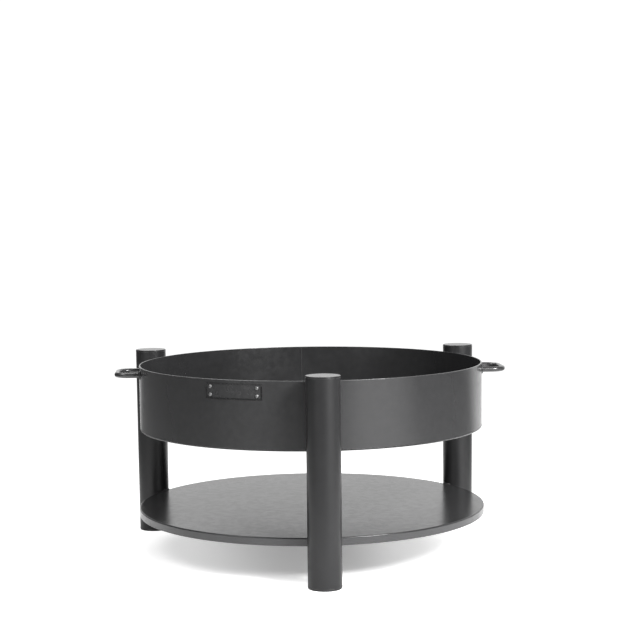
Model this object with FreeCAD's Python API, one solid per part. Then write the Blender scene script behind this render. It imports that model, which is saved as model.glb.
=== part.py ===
import FreeCAD, Part
import math
import os

# Steel fire bowl that lifts out of a three-legged stand with a lower shelf.
# Millimetres and degrees. The origin is on the stand's axis at floor level, +Z is up,
# the front leg stands towards -Y, and the bowl's handles lie on the X axis.

# Bowl: a rolled wall standing on a flat round floor
bowl_diameter = 800.0
bowl_height = 150.0
bowl_wall_thickness = 3.0
bowl_floor_thickness = 3.0
rim_edge_radius = 0.8
bowl_floor_edge_radius = 2.2

# Handles: one round bar each, bent to a U that lies flat below the rim
handle_bar_diameter = 12.0
handle_spread = 105.0
handle_reach = 56.0
handle_bend_radius = 28.0
handle_drop = 19.0

# Nameplate: a bare plate rolled to the wall and held by a rivet at each corner
nameplate_width = 130.0
nameplate_height = 31.0
nameplate_thickness = 2.0
nameplate_corner_radius = 3.0
nameplate_drop = 8.8
nameplate_angle = -27.7
rivet_inset_side = 9.4
rivet_inset_top = 7.0
rivet_head_diameter = 8.0
rivet_head_height = 2.4
rivet_shank_diameter = 4.8
rivet_tail_diameter = 7.0
rivet_tail_height = 1.5

# Legs: a tube each, closed by a welded cap and a welded foot plate
stand_height = 450.0
leg_rise_above_rim = 16.0
leg_diameter = 73.0
leg_wall_thickness = 2.9
leg_cap_thickness = 4.0
leg_cap_edge_radius = 0.9
leg_foot_thickness = 4.0
leg_foot_edge_radius = 1.2

# Bowl rests: flat tabs welded to the legs, on which the bowl's floor lies
rest_thickness = 5.0
rest_width = 60.0
rest_bearing_length = 45.0
rest_corner_radius = 12.0

# Shelf: a round plate on a ring of flat bar, both let a little into the legs
shelf_top_height = 100.0
shelf_notch_depth = 2.0
shelf_plate_thickness = 3.0
shelf_edge_radius = 2.4
shelf_band_height = 15.0
shelf_band_thickness = 4.0
shelf_band_edge_radius = 1.0

# Clearances
bowl_to_leg_gap = 4.0
weld_gap = 0.2
rivet_hole_clearance = 0.1
rivet_tail_clearance = 0.1

# An edge radius takes at most this share of the room that its wall leaves for it
LARGEST_ROUND_SHARE = 0.9

# Legs and handles are spread evenly round the axis, counted from -Y towards +X
LEG_SIDES = ("front", "right", "left")
LEG_ANGLES = {side: 360 * place / len(LEG_SIDES) for place, side in enumerate(LEG_SIDES)}
HANDLE_SIDES = ("right", "left")
HANDLE_ANGLES = {side: 360 * (place + 0.5) / len(HANDLE_SIDES) for place, side in enumerate(HANDLE_SIDES)}

# Places worked out from the sizes above
bowl_radius = bowl_diameter / 2
leg_radius = leg_diameter / 2
leg_circle_radius = bowl_radius + bowl_to_leg_gap + leg_radius
rim_height = stand_height - leg_rise_above_rim
bowl_bottom_height = rim_height - bowl_height
wall_bottom_height = bowl_bottom_height + bowl_floor_thickness
shelf_radius = leg_circle_radius - leg_radius + shelf_notch_depth
shelf_plate_bottom = shelf_top_height - shelf_plate_thickness
shelf_band_bottom = shelf_plate_bottom - shelf_band_height
nameplate_inner_radius = bowl_radius + weld_gap
nameplate_outer_radius = nameplate_inner_radius + nameplate_thickness
nameplate_top_height = rim_height - nameplate_drop
nameplate_middle_height = nameplate_top_height - nameplate_height / 2

UP = FreeCAD.Vector(0, 0, 1)
ORIGIN = FreeCAD.Vector(0, 0, 0)


def in_plan(u, v):
    """Point of a plan outline: u along X, v along Y."""
    return FreeCAD.Vector(u, v, 0)


def in_section(u, v):
    """Point of a section outline: u along X, v along Z."""
    return FreeCAD.Vector(u, 0, v)


def rounded_face(corners, to_point):
    """Flat face with straight sides, from corners (u, v, radius) that are each rounded by their radius."""
    turns = []
    for index, (u, v, radius) in enumerate(corners):
        here = in_plan(u, v)
        before = in_plan(*corners[index - 1][:2]) - here
        after = in_plan(*corners[(index + 1) % len(corners)][:2]) - here
        before.normalize()
        after.normalize()
        half_angle = before.getAngle(after) / 2
        run = radius / math.tan(half_angle)
        bisector = before + after
        bisector.normalize()
        middle = here + bisector * (radius / math.sin(half_angle) - radius)
        turns.append((here + before * run, middle, here + after * run, radius))
    edges = []
    for index, (first, middle, last, radius) in enumerate(turns):
        if radius > 0:
            points = [to_point(p.x, p.y) for p in (first, middle, last)]
            edges.append(Part.Arc(*points).toShape())
        start_of_next = turns[(index + 1) % len(turns)][0]
        ends = [to_point(p.x, p.y) for p in (last, start_of_next)]
        edges.append(Part.LineSegment(*ends).toShape())
    return Part.Face(Part.Wire(edges))


def turned(corners):
    """Solid of revolution about Z from a section outline."""
    return rounded_face(corners, in_section).revolve(ORIGIN, UP, 360)


def fitting_round(radius, room):
    """Edge radius, kept a little smaller than the room that its wall leaves for it."""
    return min(radius, LARGEST_ROUND_SHARE * room)


def disc_corners(radius, bottom, top, bottom_edge=0.0, top_edge=0.0):
    """Section of a round plate on the Z axis, with rounded outer edges."""
    return [(0, bottom, 0), (radius, bottom, bottom_edge), (radius, top, top_edge), (0, top, 0)]


def leg_place(angle):
    """Point at floor level on the axis of the leg at an angle, counted from -Y towards +X."""
    a = math.radians(angle)
    return FreeCAD.Vector(leg_circle_radius * math.sin(a), -leg_circle_radius * math.cos(a), 0)


def about_axis(shape, angle):
    """Copy of a shape turned about the stand's axis."""
    copy = shape.copy()
    copy.rotate(ORIGIN, UP, angle)
    return copy


def leg_envelope(angle):
    """Cylinder that everything welded to a leg is cut back to, a weld gap outside the tube."""
    return Part.makeCylinder(leg_radius + weld_gap, stand_height, leg_place(angle))


def nameplate_rivet_places():
    """Angle from the nameplate's middle and height of each rivet."""
    half_width = nameplate_width / 2 - rivet_inset_side
    half_height = nameplate_height / 2 - rivet_inset_top
    side_angle = math.degrees(math.asin(half_width / nameplate_outer_radius))
    return [(side * side_angle, nameplate_middle_height + level * half_height)
            for side in (-1, 1) for level in (-1, 1)]


def rivet_holes():
    """Radial drills for the rivets, long enough to pass the nameplate and the wall."""
    radius = rivet_shank_diameter / 2 + rivet_hole_clearance
    depth = nameplate_outer_radius + rivet_head_height - bowl_radius + 2 * bowl_wall_thickness
    drills = []
    for angle, height in nameplate_rivet_places():
        start = FreeCAD.Vector(0, -(bowl_radius - 2 * bowl_wall_thickness), height)
        drill = Part.makeCylinder(radius, depth, start, FreeCAD.Vector(0, -1, 0))
        drills.append(about_axis(drill, nameplate_angle + angle))
    return drills


def bowl_wall():
    """Rolled wall with a softened rim and the nameplate's rivet holes."""
    inner_radius = bowl_radius - bowl_wall_thickness
    edge = fitting_round(rim_edge_radius, bowl_wall_thickness / 2)
    wall = turned([(inner_radius, wall_bottom_height, 0), (bowl_radius, wall_bottom_height, 0),
                   (bowl_radius, rim_height, edge), (inner_radius, rim_height, edge)])
    return wall.cut(rivet_holes())


def bowl_floor():
    """Flat floor plate with a rounded lower edge, flush with the outside of the wall that stands on it."""
    edge = fitting_round(bowl_floor_edge_radius, bowl_floor_thickness)
    return turned(disc_corners(bowl_radius, bowl_bottom_height, wall_bottom_height, bottom_edge=edge))


def handle(angle):
    """U of round bar, modelled at -Y and turned into place, with both ends cut to the wall's curve."""
    half = handle_spread / 2
    root = -math.sqrt(bowl_radius ** 2 - (half + handle_bar_diameter) ** 2)
    tip = -(bowl_radius + handle_reach - handle_bar_diameter / 2)
    level = rim_height - handle_drop
    bend = handle_bend_radius
    chord = bend * (1 - math.sqrt(0.5))

    def at(u, v):
        return FreeCAD.Vector(u, v, level)

    path = Part.Wire([
        Part.LineSegment(at(-half, root), at(-half, tip + bend)).toShape(),
        Part.Arc(at(-half, tip + bend), at(-half + chord, tip + chord), at(-half + bend, tip)).toShape(),
        Part.LineSegment(at(-half + bend, tip), at(half - bend, tip)).toShape(),
        Part.Arc(at(half - bend, tip), at(half - chord, tip + chord), at(half, tip + bend)).toShape(),
        Part.LineSegment(at(half, tip + bend), at(half, root)).toShape(),
    ])
    section = Part.makeCircle(handle_bar_diameter / 2, at(-half, root), FreeCAD.Vector(0, 1, 0))
    bar = path.makePipeShell([Part.Wire([section])], True, False)
    wall_envelope = Part.makeCylinder(bowl_radius + weld_gap, stand_height)
    return about_axis(bar.cut(wall_envelope), angle)


def nameplate():
    """Bare plate with rounded corners, rolled to the wall, with a hole at each corner."""
    half_width = nameplate_width / 2
    bottom = nameplate_top_height - nameplate_height
    corners = [(-half_width, bottom), (half_width, bottom),
               (half_width, nameplate_top_height), (-half_width, nameplate_top_height)]
    face = rounded_face([(u, v, nameplate_corner_radius) for u, v in corners], in_section)
    block = face.extrude(FreeCAD.Vector(0, -(bowl_radius + 2 * nameplate_thickness), 0))
    outer = Part.makeCylinder(nameplate_outer_radius, stand_height)
    inner = Part.makeCylinder(nameplate_inner_radius, stand_height)
    plate = block.common(outer.cut(inner))
    return about_axis(plate, nameplate_angle).cut(rivet_holes())


def rivet():
    """Rivet on the Z axis: domed head above its seat at zero, shank and tail below it."""
    head_radius = rivet_head_diameter / 2
    shank_radius = rivet_shank_diameter / 2
    tail_radius = rivet_tail_diameter / 2
    seat_to_tail = nameplate_outer_radius - bowl_radius + bowl_wall_thickness + rivet_tail_clearance
    sphere_radius = (head_radius ** 2 + rivet_head_height ** 2) / (2 * rivet_head_height)
    half_angle = math.asin(head_radius / sphere_radius) / 2
    dome_middle = in_section(sphere_radius * math.sin(half_angle),
                             rivet_head_height - sphere_radius * (1 - math.cos(half_angle)))
    outline = [in_section(0, rivet_head_height), in_section(head_radius, 0), in_section(shank_radius, 0),
               in_section(shank_radius, -seat_to_tail), in_section(tail_radius, -seat_to_tail),
               in_section(tail_radius, -seat_to_tail - rivet_tail_height),
               in_section(0, -seat_to_tail - rivet_tail_height), in_section(0, rivet_head_height)]
    edges = [Part.Arc(outline[0], dome_middle, outline[1]).toShape()]
    edges += [Part.LineSegment(a, b).toShape() for a, b in zip(outline[1:-1], outline[2:])]
    return Part.Face(Part.Wire(edges)).revolve(ORIGIN, UP, 360)


def nameplate_rivets():
    """The nameplate's rivets, each set square to the wall at its own place."""
    pattern = rivet()
    pattern.rotate(ORIGIN, FreeCAD.Vector(1, 0, 0), 90)
    solids = []
    for angle, height in nameplate_rivet_places():
        copy = pattern.copy()
        copy.translate(FreeCAD.Vector(0, -nameplate_outer_radius, height))
        solids.append(about_axis(copy, nameplate_angle + angle))
    return Part.makeCompound(solids)


def leg_tube(angle):
    """Leg tube between its foot plate and its cap."""
    length = stand_height - leg_cap_thickness - leg_foot_thickness
    place = leg_place(angle) + UP * leg_foot_thickness
    bore = Part.makeCylinder(leg_radius - leg_wall_thickness, length, place)
    return Part.makeCylinder(leg_radius, length, place).cut(bore)


def leg_cap(angle):
    """Round plate that closes the tube's top, with a softened upper edge."""
    bottom = stand_height - leg_cap_thickness
    edge = fitting_round(leg_cap_edge_radius, leg_cap_thickness)
    cap = turned(disc_corners(leg_radius, bottom, stand_height, top_edge=edge))
    cap.translate(leg_place(angle))
    return cap


def leg_foot(angle):
    """Round plate that closes the tube's lower end, with a softened lower edge."""
    edge = fitting_round(leg_foot_edge_radius, leg_foot_thickness)
    foot = turned(disc_corners(leg_radius, 0, leg_foot_thickness, bottom_edge=edge))
    foot.translate(leg_place(angle))
    return foot


def bowl_rest(angle):
    """Tab under the bowl's floor, modelled at the front leg, with its outer end cut to the tube's curve."""
    half = rest_width / 2
    inner_end = -(bowl_radius - rest_bearing_length)
    corner = fitting_round(rest_corner_radius, half)
    face = rounded_face([(-half, -leg_circle_radius, 0), (half, -leg_circle_radius, 0),
                         (half, inner_end, corner), (-half, inner_end, corner)], in_plan)
    tab = face.extrude(UP * rest_thickness)
    tab.translate(UP * (bowl_bottom_height - rest_thickness))
    return about_axis(tab.cut(leg_envelope(0)), angle)


def notched(shelf_piece):
    """Piece of the shelf with a shallow notch for each leg."""
    return shelf_piece.cut([leg_envelope(angle) for angle in LEG_ANGLES.values()])


def shelf_plate():
    """Round plate with a rolled upper edge."""
    edge = fitting_round(shelf_edge_radius, shelf_plate_thickness)
    return notched(turned(disc_corners(shelf_radius, shelf_plate_bottom, shelf_top_height, top_edge=edge)))


def shelf_band():
    """Ring of flat bar on edge, under the plate and flush with its rim."""
    inner_radius = shelf_radius - shelf_band_thickness
    edge = fitting_round(shelf_band_edge_radius, shelf_band_thickness / 2)
    return notched(turned([(inner_radius, shelf_band_bottom, edge), (shelf_radius, shelf_band_bottom, edge),
                           (shelf_radius, shelf_plate_bottom, 0), (inner_radius, shelf_plate_bottom, 0)]))


def pieces():
    """Every piece of the object by its node name."""
    nodes = {
        "bowl_wall": bowl_wall(),
        "bowl_floor": bowl_floor(),
        "nameplate": nameplate(),
        "nameplate_rivets": nameplate_rivets(),
    }
    for side, angle in HANDLE_ANGLES.items():
        nodes["handle_" + side] = handle(angle)
    nodes["shelf_plate"] = shelf_plate()
    nodes["shelf_band"] = shelf_band()
    for side, angle in LEG_ANGLES.items():
        nodes["leg_tube_" + side] = leg_tube(angle)
        nodes["leg_cap_" + side] = leg_cap(angle)
        nodes["leg_foot_" + side] = leg_foot(angle)
        nodes["bowl_rest_" + side] = bowl_rest(angle)
    return nodes


os.makedirs("parts", exist_ok=True)
for node, shape in pieces().items():
    shape.exportStep("parts/" + node + ".step")
    print(node, "solids", len(shape.Solids), "valid", shape.isValid(), "volume", round(shape.Volume))
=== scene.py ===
"""Finish of a steel fire bowl in its three-legged stand: paint, weld beads, studio and camera."""
import logging
import math
from contextlib import contextmanager
from dataclasses import dataclass, field
from enum import Enum
from typing import Iterator, Optional, Sequence, Union

import bmesh
import bpy
from mathutils import Matrix, Vector


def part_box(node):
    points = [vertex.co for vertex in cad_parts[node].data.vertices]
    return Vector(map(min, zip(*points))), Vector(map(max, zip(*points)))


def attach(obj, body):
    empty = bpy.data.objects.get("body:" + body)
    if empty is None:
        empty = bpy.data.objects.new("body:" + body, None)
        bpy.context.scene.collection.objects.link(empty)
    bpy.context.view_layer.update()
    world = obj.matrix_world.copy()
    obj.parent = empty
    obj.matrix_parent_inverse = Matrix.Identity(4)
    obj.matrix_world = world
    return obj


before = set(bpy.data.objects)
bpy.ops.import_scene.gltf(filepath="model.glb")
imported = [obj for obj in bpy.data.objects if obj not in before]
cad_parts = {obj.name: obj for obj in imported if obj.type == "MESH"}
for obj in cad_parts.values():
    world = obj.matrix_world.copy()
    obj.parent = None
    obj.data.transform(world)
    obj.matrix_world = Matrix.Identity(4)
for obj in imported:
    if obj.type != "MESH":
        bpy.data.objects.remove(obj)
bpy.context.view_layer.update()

LOG = logging.getLogger("fire_bowl")
VECTOR = "NodeSocketVector"
VALUE = "NodeSocketFloat"
MM = 0.001
UP = Vector((0.0, 0.0, 1.0))
BACK = Vector((0.0, 1.0, 0.0))

Colour = tuple[float, float, float]
Span = tuple[float, float]
Sides = tuple[float, float, float, float]
Piece = bpy.types.Object
Socket = bpy.types.NodeSocket
Feed = Union[Socket, float, Sequence[float]]
Inputs = dict[Union[str, int], Feed]
Outputs = bpy.types.bpy_prop_collection


class Body(Enum):
    """Rigid bodies that pieces ride on."""

    BOWL = "bowl"
    STAND = "stand"


class Lines(Enum):
    """Ways that the faint lines of rolled or drawn steel run under the paint."""

    UPRIGHT = (1.0, 1.0, 0.02)
    LEVEL = (0.02, 0.02, 1.0)
    ACROSS = (0.02, 1.0, 1.0)


class Side(Enum):
    """Place in a ring of equal pieces; the value is its angle from the first one, in degrees."""

    @property
    def word(self) -> str:
        """Word in the node's name."""
        return self.name.lower()

    @property
    def turn(self) -> float:
        """Angle from the first place, in radians."""
        return math.radians(self.value)


class LegSide(Side):
    """Legs of the stand."""

    FRONT = 0
    RIGHT = 120
    LEFT = 240


class HandleSide(Side):
    """Handles of the bowl."""

    RIGHT = 0
    LEFT = 180


class NodeBench:
    """A node tree in the making: nodes are added, set and joined by short calls."""

    MIX_FACTOR = 0
    MIX_FIRST = 6
    MIX_SECOND = 7
    MIX_RESULT = 2

    def __init__(self, tree: bpy.types.NodeTree) -> None:
        """Starts on a tree and clears it.

        Args:
            tree: Tree of a material, a group or the world.
        """
        self.tree = tree
        tree.nodes.clear()

    def add(self, kind: str, inputs: Optional[Inputs] = None, **settings: object) -> bpy.types.Node:
        """Adds a node.

        Args:
            kind: Type name of the node.
            inputs: Values or sockets for its inputs, by socket name or number.
            **settings: Properties of the node.

        Returns:
            The new node.
        """
        node = self.tree.nodes.new(kind)
        for key, value in settings.items():
            setattr(node, key, value)
        for key, value in (inputs or {}).items():
            self.feed(node.inputs[key], value)
        return node

    def feed(self, socket: Socket, value: Feed) -> None:
        """Joins an input to another socket, or sets its value.

        Args:
            socket: Input to feed.
            value: Output of another node, or a plain value, such as a colour without its alpha.
        """
        if isinstance(value, Socket):
            self.tree.links.new(value, socket)
        elif socket.type == "RGBA":
            socket.default_value = (*value, 1.0)
        else:
            socket.default_value = value

    def use(self, group: bpy.types.NodeTree, inputs: Inputs) -> Outputs:
        """Adds a node that holds a group.

        Args:
            group: Tree of the group.
            inputs: Values or sockets for its inputs, by name.

        Returns:
            Its outputs.
        """
        return self.add("ShaderNodeGroup", inputs, node_tree=group).outputs

    def math(self, operation: str, first: Feed, second: Feed = 0.0, third: Feed = 0.0) -> Socket:
        """Adds a Math node.

        Args:
            operation: Name of the operation.
            first: First value.
            second: Second value, where the operation takes two.
            third: Third value, where the operation takes three.

        Returns:
            Its result.
        """
        inputs = {0: first, 1: second, 2: third}
        return self.add("ShaderNodeMath", inputs, operation=operation).outputs[0]

    def apart(self, first: Feed, second: Feed) -> Socket:
        """First vector less the second."""
        inputs = {0: first, 1: second}
        return self.add("ShaderNodeVectorMath", inputs, operation="SUBTRACT").outputs[0]

    def parts(self, vector: Feed) -> Outputs:
        """X, Y and Z of a vector."""
        return self.add("ShaderNodeSeparateXYZ", {0: vector}).outputs

    def level(self, across: Feed, along: Feed) -> Socket:
        """Vector with an X, a Y and no height."""
        return self.add("ShaderNodeCombineXYZ", {"X": across, "Y": along}).outputs[0]

    def length(self, vector: Feed) -> Socket:
        """Length of a vector."""
        return self.add("ShaderNodeVectorMath", {0: vector}, operation="LENGTH").outputs["Value"]

    def azimuth(self, part: Outputs) -> Socket:
        """Angle of a direction about the upright axis, in radians from -Y towards +X."""
        return self.math("ARCTAN2", part["X"], self.math("MULTIPLY", part["Y"], -1.0))

    def ramp(
        self, value: Feed, low: Feed, high: Feed, start: Feed = 0.0, end: Feed = 1.0
    ) -> Socket:
        """Adds a smooth Map Range node.

        Args:
            value: Value to map.
            low: Value that gives the start.
            high: Value that gives the end.
            start: Result at the low value.
            end: Result at the high value.

        Returns:
            Its result.
        """
        inputs = {"Value": value, "From Min": low, "From Max": high, "To Min": start, "To Max": end}
        return self.add("ShaderNodeMapRange", inputs, interpolation_type="SMOOTHSTEP").outputs[0]

    def noise(self, vector: Feed, scale: Feed, detail: float = 2.0) -> Socket:
        """Adds a Noise Texture.

        Args:
            vector: Place on the piece.
            scale: Waves in a metre.
            detail: Octaves of finer noise.

        Returns:
            Its value from 0 to 1.
        """
        inputs = {"Vector": vector, "Scale": scale, "Detail": detail}
        return self.add("ShaderNodeTexNoise", inputs).outputs[0]

    def mix(self, factor: Feed, first: Feed, second: Feed) -> Socket:
        """Adds a colour Mix node.

        Args:
            factor: Share of the second colour.
            first: Colour at 0.
            second: Colour at 1.

        Returns:
            The mixed colour.
        """
        inputs = {self.MIX_FACTOR: factor, self.MIX_FIRST: first, self.MIX_SECOND: second}
        return self.add("ShaderNodeMix", inputs, data_type="RGBA").outputs[self.MIX_RESULT]

    @classmethod
    def group(
        cls, name: str, inputs: dict[str, str], outputs: dict[str, str]
    ) -> tuple["NodeBench", dict[str, Socket], bpy.types.Node]:
        """Starts a group with its sockets.

        Args:
            name: Name of the group.
            inputs: Socket types of its inputs, by name.
            outputs: Socket types of its outputs, by name.

        Returns:
            The bench on its tree, the inner sockets of its inputs by name, and its output node.
        """
        tree = bpy.data.node_groups.new(name, "ShaderNodeTree")
        for socket, kind in inputs.items():
            tree.interface.new_socket(socket, in_out="INPUT", socket_type=kind)
        for socket, kind in outputs.items():
            tree.interface.new_socket(socket, in_out="OUTPUT", socket_type=kind)
        bench = cls(tree)
        inner = bench.add("NodeGroupInput").outputs
        return bench, {socket: inner[socket] for socket in inputs}, bench.add("NodeGroupOutput")


@dataclass(frozen=True)
class PlateOutline:
    """Nameplate on the wall, for the painted shade along its edge and round its rivets."""

    azimuth: float = math.radians(-27.7)
    half_width: float = 65.0 * MM
    thickness: float = 2.0 * MM
    rivet_inset_side: float = 9.4 * MM
    rivet_inset_top: float = 7.0 * MM
    rivet_radius: float = 4.0 * MM
    # Painted shade: a dark line along the plate's edge, lighter towards its top, and a dark ring
    # round each rivet.
    edge_width: float = 2.6 * MM
    edge_core: float = 0.4
    edge_strength: float = 0.9
    upper_start: float = 0.6
    upper_strength: float = 0.4
    ring_start: float = 0.3 * MM
    ring_width: float = 1.8 * MM
    ring_strength: float = 0.8
    wall_skin: float = 1.0 * MM
    film_scale: float = 9.0
    film_cover: Span = (0.3, 0.7)
    film_strength: Span = (0.15, 0.4)

    def shade_and_film(self) -> bpy.types.NodeTree:
        """Masks of painted shade round the plate, outside, and of the film on the wall's inside."""
        bench, given, out = NodeBench.group(
            "plate_shade_and_film", {"Vector": VECTOR}, {"Mask": VALUE, "Inside": VALUE}
        )
        low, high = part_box("bowl_wall")
        wall_radius = (high.x - low.x) / 2
        part = bench.parts(given["Vector"])
        reach = bench.length(bench.level(part["X"], part["Y"]))
        outside = bench.math("GREATER_THAN", reach, wall_radius - self.wall_skin)
        round_plate = self._round_plate(bench, part, wall_radius + self.thickness)
        bench.feed(out.inputs["Mask"], bench.math("MULTIPLY", round_plate, outside))
        cloud = bench.noise(given["Vector"], self.film_scale, detail=4.0)
        film = bench.ramp(cloud, *self.film_cover, *self.film_strength)
        inside = bench.math("SUBTRACT", 1.0, outside)
        bench.feed(out.inputs["Inside"], bench.math("MULTIPLY", film, inside))
        return bench.tree

    def _round_plate(self, bench: NodeBench, part: Outputs, radius: float) -> Socket:
        """Mask of painted shade along the plate's edge, weaker at its top, and round each rivet.

        Args:
            bench: Bench on the group's tree.
            part: X, Y and Z of the place on the piece.
            radius: Radius of the plate's face.

        Returns:
            The mask, on every face at the plate's azimuth.
        """
        low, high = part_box("nameplate")
        half_height = (high.z - low.z) / 2
        turn = bench.math("SUBTRACT", bench.azimuth(part), self.azimuth)
        aside = bench.math("ABSOLUTE", bench.math("MULTIPLY", turn, radius))
        lift = bench.math("SUBTRACT", part["Z"], (low.z + high.z) / 2)
        rise = bench.math("ABSOLUTE", lift)
        past_end = bench.math("SUBTRACT", aside, self.half_width)
        past_top = bench.math("SUBTRACT", rise, half_height)
        edge = bench.math("ABSOLUTE", bench.math("MAXIMUM", past_end, past_top))
        core = self.edge_core * self.edge_width
        line = bench.ramp(edge, core, self.edge_width, self.edge_strength, 0.0)
        upper = self.upper_start * half_height
        share = bench.ramp(lift, upper, half_height, 1.0, self.upper_strength)
        rivet = (self.half_width - self.rivet_inset_side, half_height - self.rivet_inset_top, 0.0)
        away = bench.length(bench.apart(bench.level(aside, rise), rivet))
        past_head = bench.math("SUBTRACT", away, self.rivet_radius)
        ring = bench.ramp(past_head, self.ring_start, self.ring_width, self.ring_strength, 0.0)
        return bench.math("MAXIMUM", bench.math("MULTIPLY", line, share), ring)


class PaintEffects:
    """Node groups that the finishes share, each built once."""

    TONE_SPAN = (0.3, 0.7)
    CLOUD_SHARE = 0.65
    FLECKS_IN_CLOUD = 9.0
    RUBBED_SCALE = 140.0
    RUBBED_COVER = (0.3, 0.62)
    RUBBED_STRENGTH = (0.45, 1.0)
    RUBBED_CORE = 0.3
    DUST_SCALE = 14.0
    DUST_SLOPE = (0.6, 1.0)
    DUST_COVER = (0.35, 0.75)

    def __init__(self) -> None:
        """Builds every group."""
        self.sprayed_grain = self._sprayed_grain()
        self.steel_lines = self._steel_lines()
        self.rubbed_edge = self._rubbed_edge()
        self.settled_dust = self._settled_dust()
        self.plate_shade_and_film = PlateOutline().shade_and_film()

    def _sprayed_grain(self) -> bpy.types.NodeTree:
        """Orange peel and cloudy tone of sprayed paint."""
        bench, given, out = NodeBench.group(
            "sprayed_grain",
            {"Vector": VECTOR, "Peel Size": VALUE, "Cloud Size": VALUE},
            {"Height": VALUE, "Tone": VALUE, "Gloss": VALUE},
        )
        peel_scale = bench.math("DIVIDE", 1.0, given["Peel Size"])
        cloud_scale = bench.math("DIVIDE", 1.0, given["Cloud Size"])
        fleck_scale = bench.math("MULTIPLY", cloud_scale, self.FLECKS_IN_CLOUD)
        cloud = bench.noise(given["Vector"], cloud_scale, detail=3.0)
        fleck = bench.noise(given["Vector"], fleck_scale, detail=4.0)
        flecked = bench.math("MULTIPLY", fleck, 1.0 - self.CLOUD_SHARE)
        tone = bench.math("MULTIPLY_ADD", cloud, self.CLOUD_SHARE, flecked)
        bench.feed(out.inputs["Height"], bench.noise(given["Vector"], peel_scale))
        bench.feed(out.inputs["Tone"], bench.ramp(tone, *self.TONE_SPAN))
        bench.feed(out.inputs["Gloss"], bench.ramp(fleck, *self.TONE_SPAN))
        return bench.tree

    def _steel_lines(self) -> bpy.types.NodeTree:
        """Faint lines left in steel by rolling or drawing, stretched along one way."""
        bench, given, out = NodeBench.group(
            "steel_lines", {"Vector": VECTOR, "Stretch": VECTOR, "Pitch": VALUE}, {"Height": VALUE}
        )
        stretched = bench.add(
            "ShaderNodeVectorMath", {0: given["Vector"], 1: given["Stretch"]}, operation="MULTIPLY"
        ).outputs[0]
        lines = bench.noise(stretched, bench.math("DIVIDE", 1.0, given["Pitch"]), detail=3.0)
        bench.feed(out.inputs["Height"], lines)
        return bench.tree

    def _rubbed_edge(self) -> bpy.types.NodeTree:
        """Mask of paint that is thin or rubbed along an edge."""
        bench, given, out = NodeBench.group(
            "rubbed_edge", {"Vector": VECTOR, "Distance": VALUE, "Width": VALUE}, {"Mask": VALUE}
        )
        patches = bench.noise(given["Vector"], self.RUBBED_SCALE, detail=4.0)
        broken = bench.ramp(patches, *self.RUBBED_COVER, *self.RUBBED_STRENGTH)
        share = bench.math("DIVIDE", given["Distance"], given["Width"])
        near = bench.ramp(share, self.RUBBED_CORE, 1.0, 1.0, 0.0)
        bench.feed(out.inputs["Mask"], bench.math("MULTIPLY", near, broken))
        return bench.tree

    def _settled_dust(self) -> bpy.types.NodeTree:
        """Mask of fine dust on faces that look up."""
        bench, given, out = NodeBench.group(
            "settled_dust", {"Vector": VECTOR, "Normal": VECTOR, "Amount": VALUE}, {"Mask": VALUE}
        )
        level = bench.ramp(bench.parts(given["Normal"])["Z"], *self.DUST_SLOPE)
        cloud = bench.noise(given["Vector"], self.DUST_SCALE, detail=5.0)
        lying = bench.math("MULTIPLY", level, bench.ramp(cloud, *self.DUST_COVER))
        bench.feed(out.inputs["Mask"], bench.math("MULTIPLY", lying, given["Amount"]))
        return bench.tree


@dataclass(frozen=True)
class RubbedHeight:
    """Level edge along which paint is thin: its height and the width of the strip."""

    height: float
    width: float


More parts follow.
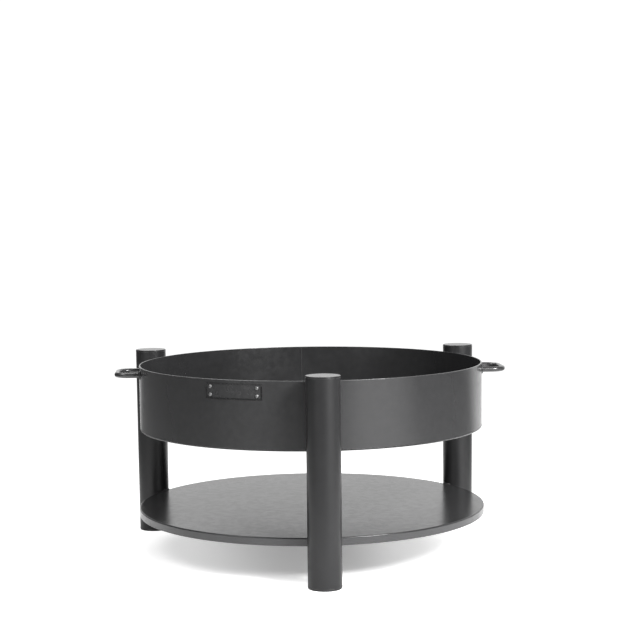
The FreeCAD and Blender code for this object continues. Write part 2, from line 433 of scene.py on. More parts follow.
@dataclass(frozen=True)
class SatinPaint:
    """Satin black paint, sprayed over rolled or drawn steel."""

    name: str
    lines: Lines
    dark: Colour = (0.034, 0.034, 0.035)
    light: Colour = (0.040, 0.040, 0.0412)
    rubbed: Colour = (0.060, 0.060, 0.0615)
    # Colour of the painted shade round the nameplate and its rivets, and of the darker film inside
    # the bowl.
    shade_and_film: Colour = (0.009, 0.009, 0.0092)
    dust: Colour = (0.10, 0.098, 0.095)
    smoothest: float = 0.19
    roughest: float = 0.25
    specular: float = 0.5
    peel_size: float = 2.2 * MM
    peel_depth: float = 0.014 * MM
    cloud_size: float = 120 * MM
    line_pitch: float = 3.0 * MM
    line_depth: float = 0.010 * MM
    dust_amount: float = 0.06
    edge: Optional[RubbedHeight] = None
    riveted: bool = False

    def material(self, effects: PaintEffects) -> bpy.types.Material:
        """Builds the material.

        Args:
            effects: Shared node groups.

        Returns:
            The new material.
        """
        material = bpy.data.materials.new(self.name)
        material.use_nodes = True
        bench = NodeBench(material.node_tree)
        place = bench.add("ShaderNodeTexCoord").outputs
        spot = place["Object"]
        sizes = {"Vector": spot, "Peel Size": self.peel_size, "Cloud Size": self.cloud_size}
        grain = bench.use(effects.sprayed_grain, sizes)
        shader = bench.add(
            "ShaderNodeBsdfPrincipled",
            {
                "Base Color": self._colour(bench, effects, place, grain["Tone"]),
                "Roughness": bench.ramp(grain["Gloss"], 0.0, 1.0, self.smoothest, self.roughest),
                "Specular IOR Level": self.specular,
                "Normal": self._relief(bench, effects, spot, grain["Height"]),
            },
        )
        bench.add("ShaderNodeOutputMaterial", {"Surface": shader.outputs[0]})
        return material

    def _colour(
        self, bench: NodeBench, effects: PaintEffects, place: Outputs, tone: Socket
    ) -> Socket:
        """Cloudy tone of the paint, with its rubbed edge, painted shade, inner film and dust.

        Args:
            bench: Bench on the material's tree.
            effects: Shared node groups.
            place: Coordinates on the piece.
            tone: Mask from the dark to the light tone.

        Returns:
            The colour.
        """
        spot = place["Object"]
        colour = bench.mix(tone, self.dark, self.light)
        if self.edge is not None:
            past_edge = bench.math("SUBTRACT", bench.parts(spot)["Z"], self.edge.height)
            distance = bench.math("ABSOLUTE", past_edge)
            strip = {"Vector": spot, "Distance": distance, "Width": self.edge.width}
            worn = bench.use(effects.rubbed_edge, strip)["Mask"]
            colour = bench.mix(worn, colour, self.rubbed)
        # Painted shade round the nameplate and its rivets, and a darker cloudy film on the bowl's
        # inside.
        if self.riveted:
            shade_and_film = bench.use(effects.plate_shade_and_film, {"Vector": spot})
            shade_and_film_mask = bench.math("MAXIMUM", shade_and_film["Mask"], shade_and_film["Inside"])
            colour = bench.mix(shade_and_film_mask, colour, self.shade_and_film)
        lying = {"Vector": spot, "Normal": place["Normal"], "Amount": self.dust_amount}
        dusty = bench.use(effects.settled_dust, lying)["Mask"]
        return bench.mix(dusty, colour, self.dust)

    def _relief(
        self, bench: NodeBench, effects: PaintEffects, spot: Socket, peel: Socket
    ) -> Socket:
        """Normal of the orange peel, with the steel's lines showing through it.

        Args:
            bench: Bench on the material's tree.
            effects: Shared node groups.
            spot: Place on the piece.
            peel: Height of the orange peel.

        Returns:
            The normal.
        """
        run = {"Vector": spot, "Stretch": self.lines.value, "Pitch": self.line_pitch}
        lines = bench.use(effects.steel_lines, run)["Height"]
        peeled = bench.add("ShaderNodeBump", {"Height": peel, "Distance": self.peel_depth})
        lined = {"Height": lines, "Distance": self.line_depth, "Normal": peeled.outputs[0]}
        return bench.add("ShaderNodeBump", lined).outputs[0]


@dataclass(frozen=True)
class RivetSteel:
    """Dark steel of the rivet heads, a little polished on the domes."""

    name: str = "rivet_steel_dark"
    dark: Colour = (0.15, 0.15, 0.152)
    light: Colour = (0.28, 0.28, 0.28)
    smoothest: float = 0.32
    roughest: float = 0.48
    metallic: float = 0.5
    peel_size: float = 0.8 * MM
    peel_depth: float = 0.03 * MM
    cloud_size: float = 6 * MM

    def material(self, effects: PaintEffects) -> bpy.types.Material:
        """Builds the material.

        Args:
            effects: Shared node groups.

        Returns:
            The new material.
        """
        material = bpy.data.materials.new(self.name)
        material.use_nodes = True
        bench = NodeBench(material.node_tree)
        spot = bench.add("ShaderNodeTexCoord").outputs["Object"]
        sizes = {"Vector": spot, "Peel Size": self.peel_size, "Cloud Size": self.cloud_size}
        grain = bench.use(effects.sprayed_grain, sizes)
        bump = bench.add("ShaderNodeBump", {"Height": grain["Height"], "Distance": self.peel_depth})
        shader = bench.add(
            "ShaderNodeBsdfPrincipled",
            {
                "Base Color": bench.mix(grain["Tone"], self.dark, self.light),
                "Roughness": bench.ramp(grain["Gloss"], 0.0, 1.0, self.smoothest, self.roughest),
                "Metallic": self.metallic,
                "Normal": bump.outputs[0],
            },
        )
        bench.add("ShaderNodeOutputMaterial", {"Surface": shader.outputs[0]})
        return material


class Workbench:
    """Modelling steps that every new piece shares."""

    SMOOTH_ANGLE = math.radians(50)
    MERGE_DISTANCE = 0.01 * MM

    @staticmethod
    def clear() -> None:
        """Goes back to object mode with nothing selected."""
        if bpy.context.mode != "OBJECT":
            bpy.ops.object.mode_set(mode="OBJECT")
        bpy.ops.object.select_all(action="DESELECT")

    @staticmethod
    @contextmanager
    def editing() -> Iterator[None]:
        """Edit mode on the active piece, by vertices."""
        bpy.ops.object.mode_set(mode="EDIT")
        bpy.ops.mesh.select_mode(type="VERT")
        yield
        bpy.ops.object.mode_set(mode="OBJECT")

    @classmethod
    def close(cls) -> None:
        """Merges doubled points of the piece in edit mode and turns its faces outwards."""
        bpy.ops.mesh.select_all(action="SELECT")
        bpy.ops.mesh.remove_doubles(threshold=cls.MERGE_DISTANCE)
        bpy.ops.mesh.normals_make_consistent(inside=False)

    @classmethod
    def finish(cls, name: str, pieces: Sequence[Piece]) -> Piece:
        """Joins objects to one smooth-shaded piece at the origin.

        Args:
            name: Name of the piece.
            pieces: Objects to join.

        Returns:
            The finished piece.
        """
        cls.clear()
        for piece in pieces:
            piece.select_set(True)
        bpy.context.view_layer.objects.active = pieces[0]
        bpy.ops.object.transform_apply(location=True, rotation=True, scale=True)
        if len(pieces) > 1:
            bpy.ops.object.join()
        bpy.ops.object.shade_smooth_by_angle(angle=cls.SMOOTH_ANGLE)
        whole = bpy.context.view_layer.objects.active
        cls._name(whole, name)
        cls.clear()
        return whole

    @classmethod
    def turned_copy(cls, piece: Piece, turn: float) -> Piece:
        """Copies a piece, with a mesh of its own, and turns the copy about the upright axis.

        Args:
            piece: Piece to copy.
            turn: Angle in radians.

        Returns:
            The copy.
        """
        cls.clear()
        piece.select_set(True)
        bpy.context.view_layer.objects.active = piece
        bpy.ops.object.duplicate(linked=False)
        copy = bpy.context.view_layer.objects.active
        copy.matrix_world = Matrix.Rotation(turn, 4, "Z") @ piece.matrix_world
        bpy.ops.object.transform_apply(location=True, rotation=True, scale=True)
        return copy

    @classmethod
    def repeat(cls, first: Piece, sides: type[Side]) -> list[Piece]:
        """Copies a piece to the other sides of a ring.

        Args:
            first: Piece at the first side, with its name up to the side's word.
            sides: Sides that get the piece.

        Returns:
            The piece and its copies, named by their sides.
        """
        stem = first.name
        pieces = []
        for side in sides:
            piece = cls.turned_copy(first, side.turn) if pieces else first
            cls._name(piece, f"{stem}_{side.word}")
            pieces.append(piece)
        cls.clear()
        return pieces

    @staticmethod
    def _name(piece: Piece, name: str) -> None:
        """Names a piece and its mesh."""
        piece.name = name
        piece.data.name = name


@dataclass(frozen=True)
class WeldBead:
    """Rippled weld bead: a round section carried round an axis or along a line."""

    radius: float
    ripple_pitch: float = 2.4 * MM
    ripple_depth: float = 0.16
    section_points: int = 8
    fewest_ripples: int = 4
    end_length: float = 0.7
    end_share: float = 0.45

    def turned(self, centre: Vector, axis: Vector, start: Vector, sweep: float = math.tau) -> Piece:
        """Bead that runs round an axis.

        Args:
            centre: Point on the axis, level with the bead.
            axis: Direction of the axis.
            start: Middle of the bead's first section.
            sweep: Angle that it runs through, a full turn for a closed ring.

        Returns:
            The bead's object.
        """
        arm = start - centre
        steps = self._steps(arm.length * sweep)
        self._section(start, axis.cross(arm))
        with Workbench.editing():
            bpy.ops.mesh.select_all(action="SELECT")
            bpy.ops.mesh.spin(steps=steps, angle=-sweep, center=centre, axis=axis)
            self._ripple(steps, closed=math.isclose(sweep, math.tau))
        return bpy.context.view_layer.objects.active

    def straight(self, start: Vector, end: Vector) -> Piece:
        """Bead that runs along a line.

        Args:
            start: Middle of its first section.
            end: Middle of its last section.

        Returns:
            The bead's object.
        """
        run = end - start
        steps = self._steps(run.length)
        self._section(start, run)
        with Workbench.editing():
            bpy.ops.mesh.select_all(action="SELECT")
            for _ in range(steps):
                bpy.ops.mesh.extrude_region_move(TRANSFORM_OT_translate={"value": run / steps})
            self._ripple(steps, closed=False)
        return bpy.context.view_layer.objects.active

    def _steps(self, length: float) -> int:
        """Even number of steps that gives two for each ripple."""
        return 2 * max(self.fewest_ripples, round(length / self.ripple_pitch))

    def _section(self, place: Vector, direction: Vector) -> None:
        """Adds the bead's first section as the active object.

        Args:
            place: Middle of the section.
            direction: Way that the bead runs from there.
        """
        Workbench.clear()
        turn = direction.to_track_quat("Z", "Y").to_euler()
        bpy.ops.mesh.primitive_circle_add(
            vertices=self.section_points, radius=self.radius, location=place, rotation=turn
        )

    def _pick(self, rows: Sequence[int]) -> Vector:
        """Selects whole sections in edit mode.

        Args:
            rows: Numbers of the sections along the bead.

        Returns:
            Middle of the selected points.
        """
        shape = bmesh.from_edit_mesh(bpy.context.edit_object.data)
        shape.verts.index_update()
        chosen = []
        for vertex in shape.verts:
            vertex.select = vertex.index // self.section_points in rows
            if vertex.select:
                chosen.append(vertex.co.copy())
        shape.select_flush_mode()
        bmesh.update_edit_mesh(bpy.context.edit_object.data)
        return sum(chosen, Vector()) / len(chosen)

    def _ripple(self, steps: int, closed: bool) -> None:
        """Draws in every second section, rounds off open ends and closes the bead in edit mode.

        Args:
            steps: Number of steps along the bead.
            closed: Whether the bead is a ring.
        """
        bpy.ops.mesh.select_all(action="SELECT")
        bpy.ops.mesh.normals_make_consistent(inside=False)
        self._pick(range(1, steps, 2))
        bpy.ops.transform.shrink_fatten(value=-self.radius * self.ripple_depth)
        if not closed:
            self._end(0, 1)
            self._end(steps, steps - 1)
        Workbench.close()

    def _end(self, last: int, before: int) -> None:
        """Rounds off one end of an open bead in edit mode.

        Args:
            last: Number of the end's section.
            before: Number of the section next to it.
        """
        inner = self._pick((before,))
        outer = self._pick((last,))
        turn = bpy.context.edit_object.matrix_world.to_3x3()
        reach = turn @ (outer - inner).normalized() * self.radius * self.end_length
        bpy.ops.mesh.extrude_region_move(TRANSFORM_OT_translate={"value": reach})
        bpy.ops.transform.resize(value=(self.end_share,) * 3)
        bpy.ops.mesh.edge_face_add()


@dataclass
class FireBowl:
    """The bowl that lifts out: wall, floor, handles and nameplate, with their welds."""

    paint: dict[str, bpy.types.Material]
    handle_bar: float = 12 * MM
    handle_spread: float = 105 * MM
    handle_bead: float = 3.0 * MM
    handle_ripple: float = 3.0 * MM
    floor_bead: float = 0.9 * MM
    floor_bead_sink: float = 0.4 * MM
    fillet_bead: float = 3.0 * MM
    fillet_lift: float = 0.6 * MM
    floor_ripple: float = 4.0 * MM
    seam_bead: float = 2.2 * MM
    seam_sink_outside: float = 1.6 * MM
    seam_sink_inside: float = 1.2 * MM
    seam_margin: float = 2 * MM
    radius: float = field(init=False)
    rim_height: float = field(init=False)
    wall_bottom: float = field(init=False)
    wall_thickness: float = field(init=False)

    def __post_init__(self) -> None:
        """Reads the wall's places from the frame; its strip is as thick as the floor plate."""
        low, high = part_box("bowl_wall")
        self.radius = (high.x - low.x) / 2
        self.rim_height = high.z
        self.wall_bottom = low.z
        low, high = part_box("bowl_floor")
        self.wall_thickness = high.z - low.z

    def dress(self) -> None:
        """Paints the bowl's solids."""
        for node in ("bowl_wall", "bowl_floor", "nameplate", "nameplate_rivets"):
            paint_node(node, self.paint[node])
        for side in HandleSide:
            paint_node("handle_" + side.word, self.paint["handle"])

    def build(self) -> list[Piece]:
        """Models the bowl's weld beads.

        Returns:
            The new pieces.
        """
        pieces = Workbench.repeat(self.handle_weld(), HandleSide)
        pieces += [self.floor_weld(), self.inner_floor_weld(), self.wall_seam()]
        for piece in pieces:
            ride(piece, Body.BOWL, self.paint["weld"])
        return pieces

    def handle_weld(self) -> Piece:
        """Beads round both ends of the right handle's bar, lying on the wall, as one piece."""
        low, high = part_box("handle_" + HandleSide.RIGHT.word)
        level = (low.z + high.z) / 2
        arm = UP * (self.handle_bar + self.handle_bead) / 2
        bead = WeldBead(self.handle_bead, self.handle_ripple)
        beads = []
        for offset in (-self.handle_spread / 2, self.handle_spread / 2):
            root = Vector((math.sqrt(self.radius ** 2 - offset ** 2), offset, level))
            normal = Vector((root.x, root.y, 0.0)).normalized()
            beads.append(bead.turned(root, normal, root + arm))
        return Workbench.finish("handle_weld", beads)

    def floor_weld(self) -> Piece:
        """Ground seam round the outside, where the wall stands on the floor plate."""
        reach = self.radius - self.floor_bead_sink
        return self._ring("floor_weld_outside", reach, self.wall_bottom, self.floor_bead)

    def inner_floor_weld(self) -> Piece:
        """Fillet bead in the corner between wall and floor."""
        reach = self.radius - self.wall_thickness - self.fillet_lift
        height = self.wall_bottom + self.fillet_lift
        return self._ring("floor_weld_inside", reach, height, self.fillet_bead)

    def wall_seam(self) -> Piece:
        """Upright seam at the back, outside and inside, where the rolled wall closes."""
        low = UP * (self.wall_bottom + self.seam_margin)
        high = UP * (self.rim_height - self.seam_margin)
        outside = BACK * (self.radius - self.seam_sink_outside)
        inside = BACK * (self.radius - self.wall_thickness + self.seam_sink_inside)
        bead = WeldBead(self.seam_bead)
        runs = [bead.straight(face + low, face + high) for face in (outside, inside)]
        return Workbench.finish("wall_seam_weld", runs)

    def _ring(self, name: str, reach: float, height: float, bead: float) -> Piece:
        """Bead all round the bowl's axis.

        Args:
            name: Name of the piece.
            reach: Distance of the bead's middle from the axis.
            height: Height of the bead's middle.
            bead: Radius of the bead.

        Returns:
            The finished piece.
        """
        centre = UP * height
        ring = WeldBead(bead, self.floor_ripple).turned(centre, UP, centre + BACK * reach)
        return Workbench.finish(name, [ring])


@dataclass
class Stand:
    """The stand: legs with caps and feet, bowl rests and shelf, with their welds."""

    paint: dict[str, bpy.types.Material]
    cap_bead: float = 0.7 * MM
    foot_bead: float = 0.9 * MM
    ring_sink: float = 0.45
    ring_ripple: float = 2.0 * MM
    rest_bead: float = 2.0 * MM
    rest_lift: float = 0.4 * MM
    rest_angle: float = math.radians(48)
    shelf_bead: float = 2.6 * MM
    stitch_bead: float = 2.2 * MM
    stitch_drop: float = 0.4 * MM
    stitch_inset: float = 4.4 * MM
    stitch_count: int = 12
    stitch_start: float = math.radians(15)
    stitch_length: float = 40 * MM
    leg_radius: float = field(init=False)
    leg_base: Vector = field(init=False)
    shelf_radius: float = field(init=False)
    shelf_top: float = field(init=False)
    plate_bottom: float = field(init=False)
    band_bottom: float = field(init=False)

    def __post_init__(self) -> None:
        """Reads the front leg's and the shelf's places from the frame."""
        low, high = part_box("leg_tube_front")
        self.leg_radius = (high.x - low.x) / 2
        self.leg_base = Vector((0.0, (low.y + high.y) / 2, 0.0))
        low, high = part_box("shelf_plate")
        self.shelf_radius = (high.x - low.x) / 2
        self.shelf_top = high.z
        self.plate_bottom = low.z
        self.band_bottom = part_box("shelf_band")[0].z

    def dress(self) -> None:
        """Paints the stand's solids."""
        for side in LegSide:
            for part in ("leg_tube", "leg_cap", "leg_foot", "bowl_rest"):
                paint_node(f"{part}_{side.word}", self.paint[part])
        paint_node("shelf_plate", self.paint["shelf_plate"])
        paint_node("shelf_band", self.paint["shelf_band"])

    def build(self) -> list[Piece]:
        """Models the stand's weld beads.

        Returns:
            The new pieces.
        """
        pieces = [self.stitch_welds()]
        for first in (self.cap_weld(), self.foot_weld(), self.rest_weld(), self.shelf_weld()):
            pieces += Workbench.repeat(first, LegSide)
        for piece in pieces:
            ride(piece, Body.STAND, self.paint["weld"])
        return pieces

    def cap_weld(self) -> Piece:
        """Ground seam between the front tube and its cap."""
        return self._ring("leg_cap_weld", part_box("leg_cap_front")[0].z, self.cap_bead)

    def foot_weld(self) -> Piece:
        """Ground seam between the front tube and its foot plate."""
        return self._ring("leg_foot_weld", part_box("leg_foot_front")[1].z, self.foot_bead)

    def rest_weld(self) -> Piece:
        """Fillet beads round the front tube, above and below the tab that the bowl rests on."""
        low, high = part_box("bowl_rest_front")
        reach = self.leg_radius + self.rest_lift
        heights = (low.z, high.z)
        runs = [self._arc(height, reach, self.rest_angle, self.rest_bead) for height in heights]
        return Workbench.finish("bowl_rest_weld", runs)

    def shelf_weld(self) -> Piece:
        """Beads all round the place where the shelf is let into the front leg."""
        away = self.leg_base.length
        depth = (self.shelf_radius ** 2 - self.leg_radius ** 2 + away ** 2) / (2 * away)
        half = math.asin(math.sqrt(self.shelf_radius ** 2 - depth ** 2) / self.leg_radius)
        heights = (self.band_bottom, self.shelf_top)
        runs = [self._arc(height, self.leg_radius, half, self.shelf_bead) for height in heights]
        for turn in (-half, half):
            side = self.leg_base + Matrix.Rotation(turn, 3, "Z") @ BACK * self.leg_radius
            low, high = (side + UP * height for height in heights)
            runs.append(WeldBead(self.shelf_bead).straight(low, high))
        return Workbench.finish("shelf_weld", runs)

    def stitch_welds(self) -> Piece:
        """Short stitches under the shelf, in the corner between its plate and its band."""
        centre = UP * (self.plate_bottom - self.stitch_drop)
        reach = self.shelf_radius - self.stitch_inset
        start = centre + Matrix.Rotation(self.stitch_start, 3, "Z") @ Vector((reach, 0.0, 0.0))
        stitch = WeldBead(self.stitch_bead).turned(centre, UP, start, self.stitch_length / reach)
        turns = [math.tau * place / self.stitch_count for place in range(1, self.stitch_count)]
        copies = [Workbench.turned_copy(stitch, turn) for turn in turns]
        return Workbench.finish("shelf_stitch_welds", [stitch, *copies])

    def _ring(self, name: str, height: float, bead: float) -> Piece:
        """Bead all round the front tube.

        Args:
            name: Name of the piece, without the side's word.
            height: Height of the bead's middle.
            bead: Radius of the bead.

        Returns:
            The finished piece.
        """
        centre = self.leg_base + UP * height
        start = centre + Vector((self.leg_radius - bead * self.ring_sink, 0.0, 0.0))
        ring = WeldBead(bead, self.ring_ripple).turned(centre, UP, start)
        return Workbench.finish(name, [ring])

    def _arc(self, height: float, reach: float, half: float, bead: float) -> Piece:
        """Bead round part of the front tube, on the side towards the bowl.

        Args:
            height: Height of the bead's middle.
            reach: Distance of the bead's middle from the tube's axis.
            half: Angle from its middle to its ends.
            bead: Radius of the bead.

        Returns:
            The bead's object.
        """
        centre = self.leg_base + UP * height
        start = centre + Matrix.Rotation(-half, 3, "Z") @ BACK * reach
        return WeldBead(bead).turned(centre, UP, start, 2 * half)


@dataclass(frozen=True)
class SoftBox:
    """Studio lamp with a soft rectangular front, aimed at a point."""

    name: str
    azimuth: float
    elevation: float
    width: float
    height: float
    power: float
    distance: float = 4.0

    def place(self, target: Vector) -> None:
        """Sets the lamp up.

        Args:
            target: Point that it is aimed at.
        """
        lamp = bpy.data.lights.new(self.name, "AREA")
        lamp.shape = "RECTANGLE"
        lamp.size = self.width
        lamp.size_y = self.height
        lamp.energy = self.power
        turn, lift = math.radians(self.azimuth), math.radians(self.elevation)
        level = Vector((math.sin(turn), -math.cos(turn), 0.0))
        away = level * math.cos(lift) + UP * math.sin(lift)
        stand = bpy.data.objects.new(self.name, lamp)
        bpy.context.scene.collection.objects.link(stand)
        stand.location = target + away * self.distance
        stand.rotation_euler = away.to_track_quat("Z", "Y").to_euler()


@dataclass(frozen=True)
class Studio:
    """White floor, dim room with a bright backdrop, and soft boxes."""

    target: Vector = Vector((0.0, 0.0, 0.25))
    floor_size: float = 40.0
    floor_drop: float = 0.2 * MM
    white: Colour = (1.0, 1.0, 1.0)
    floor_colour: Colour = (0.8, 0.8, 0.8)
    floor_far_colour: Colour = (0.20, 0.20, 0.20)
    shade_level: float = 0.31
    shade_side_level: float = 0.62
    shade_fade: Span = (0.04, 0.30)
    shade_centre: Vector = Vector((0.01, -0.02, 0.0))
    shade_left: float = 0.84
    shade_right: float = 1.3
    shade_depth: float = 1.1
    shade_reach: Span = (0.28, 0.46)
    sheen_close: float = 0.3
    close_reach: Span = (0.45, 0.75)
    sheen_near: float = 0.8
    sheen_far: float = 0.10
    sheen_reach: Span = (0.8, 1.6)
    room_level: float = 0.05
    backdrop_level: float = 1.1
    backdrop_sides: Sides = (112.0, 137.0, 191.0, 216.0)
    backdrop_top: Span = (0.5, 0.9)
    pool_level: float = 0.9
    pool_sides: Sides = (4.0, 30.0, 48.0, 74.0)
    boxes: tuple[SoftBox, ...] = (
        SoftBox("key_box", azimuth=38.0, elevation=34.0, width=1.1, height=1.1, power=190.0),
        SoftBox("low_box", azimuth=36.0, elevation=11.5, width=2.4, height=1.2, power=25.0),
        SoftBox("left_box", azimuth=-42.0, elevation=11.0, width=2.0, height=1.2, power=12.0),
        SoftBox("front_box", azimuth=10.0, elevation=30.0, width=1.0, height=1.4, power=26.0),
        SoftBox("side_box", azimuth=-75.0, elevation=50.0, width=1.6, height=1.4, power=40.0),
        SoftBox("back_box", azimuth=190.0, elevation=52.0, width=2.0, height=1.4, power=40.0),
    )

    def build(self) -> None:
        """Sets up floor, surroundings, lamps and colour view."""
        backdrop = self._glow("backdrop_glow", self.backdrop_sides)
        self._floor(backdrop, self._glow("pool_glow", self.pool_sides))
        self._surroundings(backdrop)
        for box in self.boxes:
            box.place(self.target)
        bpy.context.scene.view_settings.view_transform = "Standard"

    @staticmethod
    def _glow(name: str, sides: Sides) -> bpy.types.NodeTree:
        """Builds the mask of a bright sector by the azimuth of a direction.

        Args:
            name: Name of the group.
            sides: Azimuths at which the sector begins, is full, begins to fade and ends.

        Returns:
            The new group.
        """
        bench, given, out = NodeBench.group(name, {"Direction": VECTOR}, {"Mask": VALUE})
        begin, full, fade, end = (math.radians(side) for side in sides)
        middle = (full + fade) / 2
        turn = bench.math("SUBTRACT", bench.azimuth(bench.parts(given["Direction"])), middle)
        aside = bench.math("WRAP", turn, math.pi, -math.pi)
        rise = bench.ramp(aside, begin - middle, full - middle)
        fall = bench.ramp(aside, fade - middle, end - middle, 1.0, 0.0)
        bench.feed(out.inputs["Mask"], bench.math("MULTIPLY", rise, fall))
        return bench.tree

    def _floor(self, backdrop: bpy.types.NodeTree, pool: bpy.types.NodeTree) -> None:
        """Matt floor, white to the camera with a shade below the object, and bright in reflections.

        Args:
            backdrop: Group that gives the backdrop's mask.
            pool: Group that gives the mask of a painted pool of lamp light on the floor.
        """
        Workbench.clear()
        place = (0.0, 0.0, -self.floor_drop)
        bpy.ops.mesh.primitive_plane_add(size=self.floor_size, location=place)
        floor = bpy.context.view_layer.objects.active
        floor.name = "studio_floor"
        material = bpy.data.materials.new("studio_floor_white")
        material.use_nodes = True
        bench = NodeBench(material.node_tree)
        spot = bench.add("ShaderNodeTexCoord").outputs["Object"]
        away = bench.length(spot)
        ray = bench.add("ShaderNodeLightPath").outputs
        straight = bench.math("MAXIMUM", ray["Is Camera Ray"], ray["Is Transmission Ray"])
        seen = bench.math("MULTIPLY", straight, self._shade(bench, spot))
        behind = bench.use(backdrop, {"Direction": spot})["Mask"]
        lit = bench.use(pool, {"Direction": spot})["Mask"]
        sheen = self._sheen(bench, away, behind, lit)
        mirrored = bench.math("MULTIPLY", ray["Is Glossy Ray"], sheen)
        lift = bench.add("ShaderNodeEmission", {"Strength": bench.math("MAXIMUM", seen, mirrored)})
        far = bench.ramp(away, *self.sheen_reach)
        tone = bench.mix(far, self.floor_colour, self.floor_far_colour)
        matt = bench.add("ShaderNodeBsdfDiffuse", {"Color": tone})
        both = bench.add("ShaderNodeAddShader", {0: lift.outputs[0], 1: matt.outputs[0]})
        bench.add("ShaderNodeOutputMaterial", {"Surface": both.outputs[0]})
        floor.data.materials.append(material)

    def _shade(self, bench: NodeBench, spot: Socket) -> Socket:
        """Level of the white floor: an oval shade below the object that fades towards both sides.

        Args:
            bench: Bench on the floor's tree.
            spot: Place on the floor.

        Returns:
            The level.
        """
        part = bench.parts(bench.apart(spot, self.shade_centre))
        right = bench.math("MULTIPLY", part["X"], self.shade_right)
        left = bench.math("MULTIPLY", part["X"], -self.shade_left)
        aside = bench.math("MAXIMUM", right, left)
        along = bench.math("MULTIPLY", part["Y"], self.shade_depth)
        inner = bench.ramp(aside, *self.shade_fade, self.shade_level, self.shade_side_level)
        return bench.ramp(bench.length(bench.level(aside, along)), *self.shade_reach, inner, 1.0)

    def _sheen(self, bench: NodeBench, away: Socket, behind: Socket, lit: Socket) -> Socket:
        """Level of the floor in reflections: dim close by, brighter further out, then by sectors.

        Args:
            bench: Bench on the floor's tree.
            away: Distance from the object's axis.
            behind: Mask of the floor below the backdrop.
            lit: Mask of the painted pool of lamp light on the floor.

        Returns:
            The level.
        """
        below_backdrop = bench.ramp(behind, 0.0, 1.0, self.sheen_far, 1.0)
        far = bench.math("MAXIMUM", below_backdrop, bench.math("MULTIPLY", lit, self.pool_level))
        near = bench.ramp(away, *self.close_reach, self.sheen_close, self.sheen_near)
        return bench.ramp(away, *self.sheen_reach, near, far)

    def _surroundings(self, backdrop: bpy.types.NodeTree) -> None:
        """Dim room with a bright backdrop behind the object; the camera sees plain white.

        Args:
            backdrop: Group that gives the backdrop's mask.
        """
        world = bpy.data.worlds.new("studio_room")
        bpy.context.scene.world = world
        world.use_nodes = True
        bench = NodeBench(world.node_tree)
        heading = bench.add("ShaderNodeTexCoord").outputs["Generated"]
        top = bench.ramp(bench.parts(heading)["Z"], *self.backdrop_top, 1.0, 0.0)
        mask = bench.math("MULTIPLY", bench.use(backdrop, {"Direction": heading})["Mask"], top)
        level = bench.ramp(mask, 0.0, 1.0, self.room_level, self.backdrop_level)
        seen = bench.add("ShaderNodeLightPath").outputs["Is Camera Ray"]
        strength = bench.math("MAXIMUM", level, seen)
        sky = bench.add("ShaderNodeBackground", {"Color": self.white, "Strength": strength})
        bench.add("ShaderNodeOutputWorld", {"Surface": sky.outputs[0]})


@dataclass(frozen=True)
class PhotoCamera:
    """Camera at the photograph's viewpoint."""

    distance: float = 3.68643
    height: float = 0.80492
    azimuth: float = -3.336
    pitch: float = -7.133
    yaw: float = 0.335
    roll: float = -0.611
    focal_pixels: float = 1578.24
    image_pixels: float = 640.0
    centre_row: float = 400.0
    sensor: float = 36.0

    def place(self) -> None:
        """Sets the camera up as the scene's camera."""
        lens = bpy.data.cameras.new("photo_camera")
        lens.sensor_width = self.sensor
        lens.lens = self.focal_pixels / self.image_pixels * self.sensor
        lens.shift_y = (self.centre_row - self.image_pixels / 2) / self.image_pixels
        camera = bpy.data.objects.new("photo_camera", lens)
        bpy.context.scene.collection.objects.link(camera)
        round_axis = Matrix.Rotation(math.radians(self.azimuth), 4, "Z")
        spot = Matrix.Translation((0.0, -self.distance, self.height))
        aim = Matrix.Rotation(math.radians(-self.yaw), 4, "Z")
        aim = aim @ Matrix.Rotation(math.radians(90 + self.pitch), 4, "X")
        tilt = Matrix.Rotation(math.radians(self.roll), 4, "Z")
        camera.matrix_world = round_axis @ spot @ aim @ tilt
        bpy.context.scene.camera = camera


def paint_node(node: str, material: bpy.types.Material) -> None:
    """Gives a solid of the frame its finish.

    Args:
        node: Name of the solid's node.
        material: Finish for all of its faces.
    """
    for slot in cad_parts[node].material_slots:
        slot.material = material
    LOG.info("painted %s with %s", node, material.name)


def ride(piece: Piece, body: Body, material: bpy.types.Material) -> None:
    """Gives a weld its finish and lets it move with a body.

    Args:
        piece: The finished weld.
        body: Body that carries it.
        material: Its finish.
    """
    piece.data.materials.clear()
    piece.data.materials.append(material)
    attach(piece, body.value)
    LOG.info("built %s on %s, %d faces", piece.name, body.value, len(piece.data.polygons))


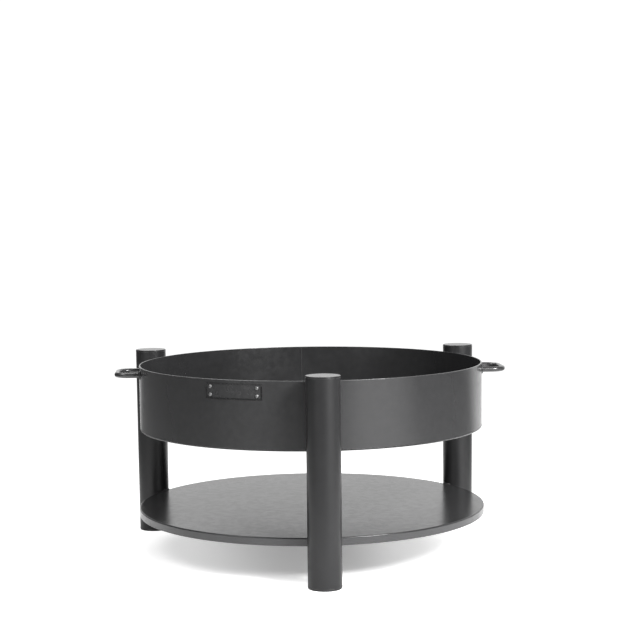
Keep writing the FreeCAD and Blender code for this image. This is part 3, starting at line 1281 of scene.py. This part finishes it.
def finishes(effects: PaintEffects) -> dict[str, bpy.types.Material]:
    """Every finish of the object.

    Args:
        effects: Shared node groups.

    Returns:
        Materials by the node, or first words of the nodes, that they belong to.
    """
    wall = SatinPaint(
        "paint_bowl_wall",
        Lines.LEVEL,
        specular=0.8,
        edge=RubbedHeight(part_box("bowl_wall")[1].z, 1.6 * MM),
        riveted=True,
    ).material(effects)
    bar = SatinPaint(
        "paint_handle_bar",
        Lines.ACROSS,
        dark=(0.040, 0.040, 0.041),
        light=(0.048, 0.048, 0.0493),
        smoothest=0.19,
        roughest=0.24,
        specular=0.8,
        peel_depth=0.003 * MM,
        line_pitch=1.5 * MM,
        line_depth=0.0015 * MM,
    ).material(effects)
    plate = SatinPaint(
        "paint_flat_plate",
        Lines.LEVEL,
        smoothest=0.23,
        roughest=0.26,
        peel_depth=0.007 * MM,
        line_depth=0.005 * MM,
        dust_amount=0.07,
    ).material(effects)
    tube = SatinPaint(
        "paint_leg_tube",
        Lines.UPRIGHT,
        dark=(0.023, 0.023, 0.0237),
        light=(0.027, 0.027, 0.0279),
        smoothest=0.33,
        roughest=0.37,
        specular=0.4,
        line_pitch=2.0 * MM,
    ).material(effects)
    cap = SatinPaint(
        "paint_leg_cap",
        Lines.LEVEL,
        dark=(0.024, 0.024, 0.0248),
        light=(0.029, 0.029, 0.030),
        smoothest=0.23,
        roughest=0.26,
        peel_depth=0.007 * MM,
        line_depth=0.005 * MM,
    ).material(effects)
    # Painted light: the band's paint is lighter than the wall's, for the floor light it catches
    # close below.
    band = SatinPaint(
        "paint_shelf_band",
        Lines.LEVEL,
        dark=(0.060, 0.060, 0.0618),
        light=(0.068, 0.068, 0.070),
    ).material(effects)
    nameplate = SatinPaint(
        "paint_nameplate",
        Lines.LEVEL,
        smoothest=0.24,
        roughest=0.28,
        specular=0.7,
        peel_depth=0.002 * MM,
        line_pitch=0.8 * MM,
        line_depth=0.001 * MM,
        riveted=True,
    ).material(effects)
    weld = SatinPaint(
        "paint_weld_bead",
        Lines.LEVEL,
        smoothest=0.32,
        roughest=0.42,
        peel_size=1.2 * MM,
    ).material(effects)
    return {
        "bowl_wall": wall,
        "bowl_floor": plate,
        "handle": bar,
        "nameplate": nameplate,
        "nameplate_rivets": RivetSteel().material(effects),
        "leg_tube": tube,
        "leg_cap": cap,
        "leg_foot": cap,
        "bowl_rest": plate,
        "shelf_plate": plate,
        "shelf_band": band,
        "weld": weld,
    }


def main() -> None:
    """Dresses the object and sets up studio and camera."""
    logging.basicConfig(level=logging.INFO, format="%(name)s: %(message)s")
    PhotoCamera().place()
    paint = finishes(PaintEffects())
    for assembly in (FireBowl(paint), Stand(paint)):
        assembly.dress()
        pieces = assembly.build()
        LOG.info("%s: %d new pieces", type(assembly).__name__, len(pieces))
    Studio().build()


if __name__ == "__main__":
    main()
